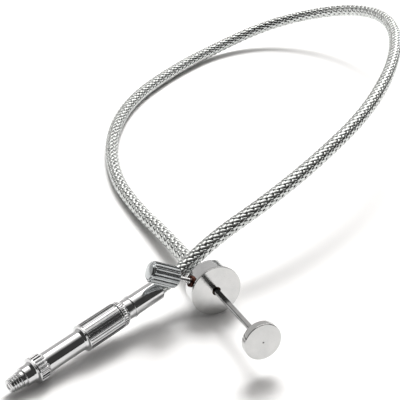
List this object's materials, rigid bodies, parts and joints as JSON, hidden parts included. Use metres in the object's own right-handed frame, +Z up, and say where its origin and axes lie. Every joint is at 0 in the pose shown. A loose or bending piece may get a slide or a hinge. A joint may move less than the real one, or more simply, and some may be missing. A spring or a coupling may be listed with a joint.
{
  "type": "camera cable release",
  "caption": "Mechanical camera cable release: a thumb plunger with a side lock screw drives a pin through a braided cable to a threaded camera nipple.",
  "frame": {"origin": "middle of the base of the head and camera end together, without the cable, on the surface they rest on", "axes": "+Z up; -Y is the way the button faces, seen from above; +X runs from the camera end towards the head"},
  "size_m": [0.1908, 0.1999, 0.0309],
  "materials": {
    "chrome": "bright chrome plate on brass",
    "satin_chrome": "fine turned and plated, slightly satin",
    "knob_chrome": "knurled, darker grey plate",
    "brass": "bare reddish brass",
    "polished_steel": "ground and polished steel",
    "spring_steel": "drawn spring wire",
    "braid_wire": "woven tinned wire, bright with dark gaps"
  },
  "bodies": {
    "cable": {"face_plate": "satin_chrome", "hub_body": "satin_chrome", "guide_bush": "brass", "rear_cap": "chrome", "head_ferrule": "chrome", "lock_bush": "brass", "swivel_tube": "chrome", "step_ring": "chrome", "cable_ferrule": "chrome", "braided_sheath": "braid_wire", "spiral_conduit": "spring_steel", "core_wire": "spring_steel"},
    "plunger": {"plunger_rod": "polished_steel", "thumb_button": "satin_chrome", "rod_stop_ring": "polished_steel"},
    "lock_screw": {"lock_stud": "chrome", "lock_knob": "knob_chrome", "clamp_pad": "brass"},
    "nipple": {"threaded_nipple": "chrome", "grip_ring": "chrome", "barrel_tube": "chrome", "grip_sleeve": "chrome", "sleeve_collar": "chrome", "thrust_washer": "brass", "return_spring": "spring_steel"},
    "pin": {"camera_pin": "polished_steel", "pin_collar": "polished_steel"}
  },
  "joints": [
    {"name": "plunger_press", "type": "slide", "parent": "cable", "child": "plunger", "axis": [0, 0.9962, -0.0872], "range_m": [0, 0.013], "stiffness_N_per_m": 100, "springref_m": -0.005, "deforming": ["core_wire"]},
    {"name": "pin_slide", "type": "slide", "parent": "cable", "child": "pin", "axis": [-0.9319, -0.3447, -0.1132], "range_m": [0, 0.013], "deforming": ["return_spring"]},
    {"name": "nipple_spin", "type": "hinge", "parent": "cable", "child": "nipple", "pos_m": [-0.0274, -0.0053, 0.00363], "axis": [0.9319, 0.3447, 0.1132], "continuous": true},
    {"name": "lock_screw_turn", "type": "hinge", "parent": "cable", "child": "lock_screw", "pos_m": [0.0171, 0.00685, 0.01234], "axis": [0.887, -0.0402, -0.46], "range_deg": [0, 180]}
  ],
  "couplings": [
    {"joint": "pin_slide", "follows": "plunger_press", "ratio": 1}
  ]
}
